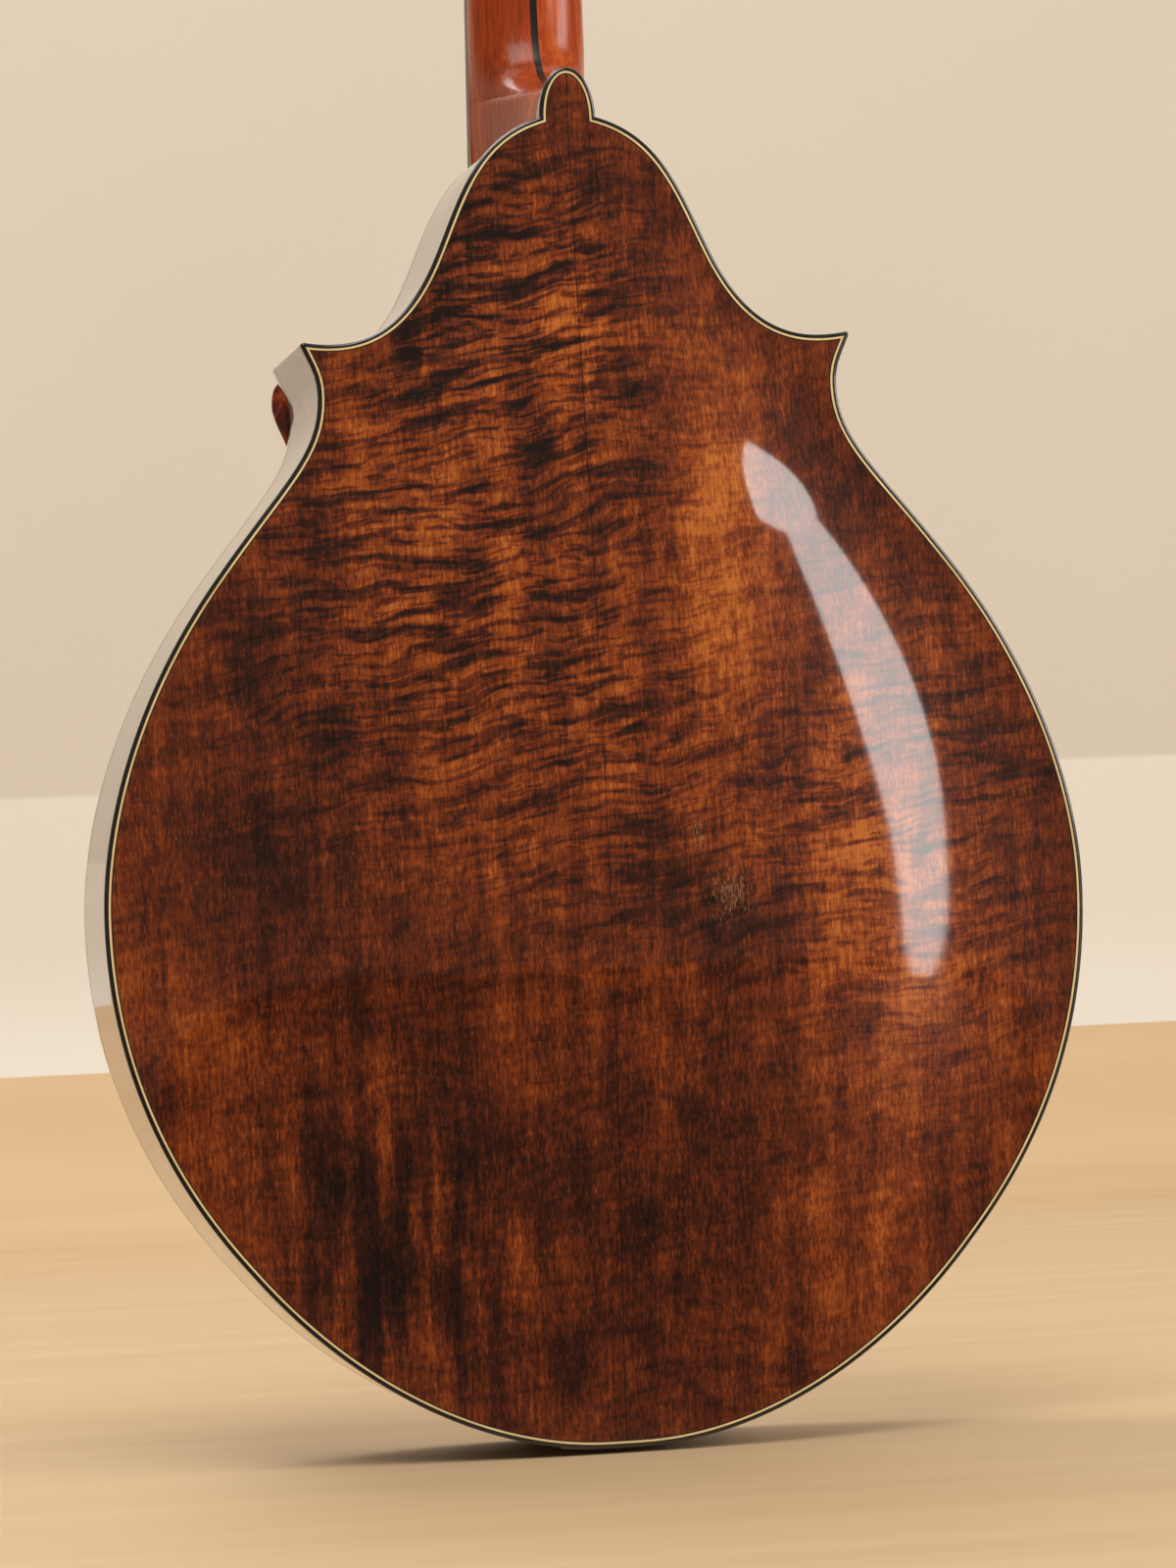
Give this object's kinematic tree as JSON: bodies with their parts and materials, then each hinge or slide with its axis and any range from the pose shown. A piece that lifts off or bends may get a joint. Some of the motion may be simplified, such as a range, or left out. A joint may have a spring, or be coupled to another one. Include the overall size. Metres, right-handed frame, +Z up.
{
  "type": "mandocello",
  "caption": "Large mandolin-family instrument with a carved hollow body, pointed waists, laminated neck, paired strings, floating bridge, tailpiece and worm-geared tuners.",
  "frame": {"origin": "middle of the lowest flat face of the tailpiece's end flange, on the centre line and at mid depth of the ribs", "axes": "+Z up along the body towards the neck, -Y out of the soundboard, +Y out of the back, +X towards the treble side"},
  "size_m": [0.3612, 0.1302, 0.9865],
  "materials": {
    "stained_maple": "curly maple, dark reddish-brown stain shaded darker at the edges, gloss varnish",
    "stained_spruce": "straight-grained spruce, reddish-brown stain, gloss varnish",
    "black_binding": "polished black with an ivory line let in",
    "inner_wood": "bare sanded wood",
    "mahogany": "reddish-brown mahogany, gloss varnish",
    "ebony": "oiled ebony",
    "bone": "polished bone",
    "ivory_button": "polished ivory-coloured plastic",
    "nickel": "nickel plate with slight tarnish",
    "brass": "turned brass, nickel plate worn thin",
    "plain_wire": "plain steel wire",
    "wound_wire": "steel core wound with bronze wire",
    "tortoiseshell": "mottled translucent red-brown plastic"
  },
  "bodies": {
    "body": {"back": "stained_maple", "rib_treble": "stained_maple", "rib_bass": "stained_maple", "top": "stained_spruce", "top_binding": "black_binding", "back_binding": "black_binding", "neck_block": "inner_wood", "tail_block": "inner_wood", "point_block_treble": "inner_wood", "point_block_bass": "inner_wood", "top_lining": "inner_wood", "back_lining": "inner_wood", "top_brace": "inner_wood", "neck_treble_half": "mahogany", "neck_bass_half": "mahogany", "neck_centre_strip": "ebony", "fingerboard": "ebony", "bridge": "ebony", "headstock_veneer": "ebony", "nut": "bone", "bridge_saddle": "bone", "tuner_plate_treble": "nickel", "tuner_plate_bass": "nickel", "tailpiece_base": "nickel", "finger_rest_bracket": "nickel", "string_1": "plain_wire", "string_2": "plain_wire", "string_3": "wound_wire", "string_4": "wound_wire", "string_5": "wound_wire", "string_6": "wound_wire", "string_7": "wound_wire", "string_8": "wound_wire", "finger_rest": "tortoiseshell"},
    "cover": {"tailpiece_cover": "nickel"},
    "worm_1": {"worm_shaft_1": "nickel", "turn_button_1": "ivory_button"},
    "post_1": {"string_post_1": "brass"},
    "worm_2": {"worm_shaft_2": "nickel", "turn_button_2": "ivory_button"},
    "post_2": {"string_post_2": "brass"},
    "worm_3": {"worm_shaft_3": "nickel", "turn_button_3": "ivory_button"},
    "post_3": {"string_post_3": "brass"},
    "worm_4": {"worm_shaft_4": "nickel", "turn_button_4": "ivory_button"},
    "post_4": {"string_post_4": "brass"},
    "worm_5": {"worm_shaft_5": "nickel", "turn_button_5": "ivory_button"},
    "post_5": {"string_post_5": "brass"},
    "worm_6": {"worm_shaft_6": "nickel", "turn_button_6": "ivory_button"},
    "post_6": {"string_post_6": "brass"},
    "worm_7": {"worm_shaft_7": "nickel", "turn_button_7": "ivory_button"},
    "post_7": {"string_post_7": "brass"},
    "worm_8": {"worm_shaft_8": "nickel", "turn_button_8": "ivory_button"},
    "post_8": {"string_post_8": "brass"}
  },
  "joints": [
    {"name": "cover_slide", "type": "slide", "parent": "body", "child": "cover", "axis": [0, 0.1718, -0.9851], "range_m": [0, 0.07]},
    {"name": "tuner_1_worm", "type": "hinge", "parent": "body", "child": "worm_1", "pos_m": [0.0285, 0.01559, 0.85743], "axis": [1, 0, 0], "continuous": true},
    {"name": "tuner_1_post", "type": "hinge", "parent": "body", "child": "post_1", "pos_m": [0.0285, 0.01764, 0.86345], "axis": [0, 0.9466, -0.3223], "continuous": true},
    {"name": "tuner_2_worm", "type": "hinge", "parent": "body", "child": "worm_2", "pos_m": [0.0285, 0.02462, 0.88394], "axis": [1, 0, 0], "continuous": true},
    {"name": "tuner_2_post", "type": "hinge", "parent": "body", "child": "post_2", "pos_m": [0.0285, 0.02667, 0.88995], "axis": [0, 0.9466, -0.3223], "continuous": true},
    {"name": "tuner_3_worm", "type": "hinge", "parent": "body", "child": "worm_3", "pos_m": [0.0285, 0.03364, 0.91044], "axis": [1, 0, 0], "continuous": true},
    {"name": "tuner_3_post", "type": "hinge", "parent": "body", "child": "post_3", "pos_m": [0.0285, 0.03569, 0.91646], "axis": [0, 0.9466, -0.3223], "continuous": true},
    {"name": "tuner_4_worm", "type": "hinge", "parent": "body", "child": "worm_4", "pos_m": [0.0285, 0.04267, 0.93695], "axis": [1, 0, 0], "continuous": true},
    {"name": "tuner_4_post", "type": "hinge", "parent": "body", "child": "post_4", "pos_m": [0.0285, 0.04471, 0.94297], "axis": [0, 0.9466, -0.3223], "continuous": true},
    {"name": "tuner_5_worm", "type": "hinge", "parent": "body", "child": "worm_5", "pos_m": [-0.0285, 0.01559, 0.85743], "axis": [1, 0, 0], "continuous": true},
    {"name": "tuner_5_post", "type": "hinge", "parent": "body", "child": "post_5", "pos_m": [-0.0285, 0.01764, 0.86345], "axis": [0, 0.9466, -0.3223], "continuous": true},
    {"name": "tuner_6_worm", "type": "hinge", "parent": "body", "child": "worm_6", "pos_m": [-0.0285, 0.02462, 0.88394], "axis": [1, 0, 0], "continuous": true},
    {"name": "tuner_6_post", "type": "hinge", "parent": "body", "child": "post_6", "pos_m": [-0.0285, 0.02667, 0.88995], "axis": [0, 0.9466, -0.3223], "continuous": true},
    {"name": "tuner_7_worm", "type": "hinge", "parent": "body", "child": "worm_7", "pos_m": [-0.0285, 0.03364, 0.91044], "axis": [1, 0, 0], "continuous": true},
    {"name": "tuner_7_post", "type": "hinge", "parent": "body", "child": "post_7", "pos_m": [-0.0285, 0.03569, 0.91646], "axis": [0, 0.9466, -0.3223], "continuous": true},
    {"name": "tuner_8_worm", "type": "hinge", "parent": "body", "child": "worm_8", "pos_m": [-0.0285, 0.04267, 0.93695], "axis": [1, 0, 0], "continuous": true},
    {"name": "tuner_8_post", "type": "hinge", "parent": "body", "child": "post_8", "pos_m": [-0.0285, 0.04471, 0.94297], "axis": [0, 0.9466, -0.3223], "continuous": true}
  ],
  "couplings": [
    {"joint": "tuner_1_post", "follows": "tuner_1_worm", "ratio": -0.071429},
    {"joint": "tuner_2_post", "follows": "tuner_2_worm", "ratio": -0.071429},
    {"joint": "tuner_3_post", "follows": "tuner_3_worm", "ratio": -0.071429},
    {"joint": "tuner_4_post", "follows": "tuner_4_worm", "ratio": -0.071429},
    {"joint": "tuner_5_post", "follows": "tuner_5_worm", "ratio": -0.071429},
    {"joint": "tuner_6_post", "follows": "tuner_6_worm", "ratio": -0.071429},
    {"joint": "tuner_7_post", "follows": "tuner_7_worm", "ratio": -0.071429},
    {"joint": "tuner_8_post", "follows": "tuner_8_worm", "ratio": -0.071429}
  ]
}
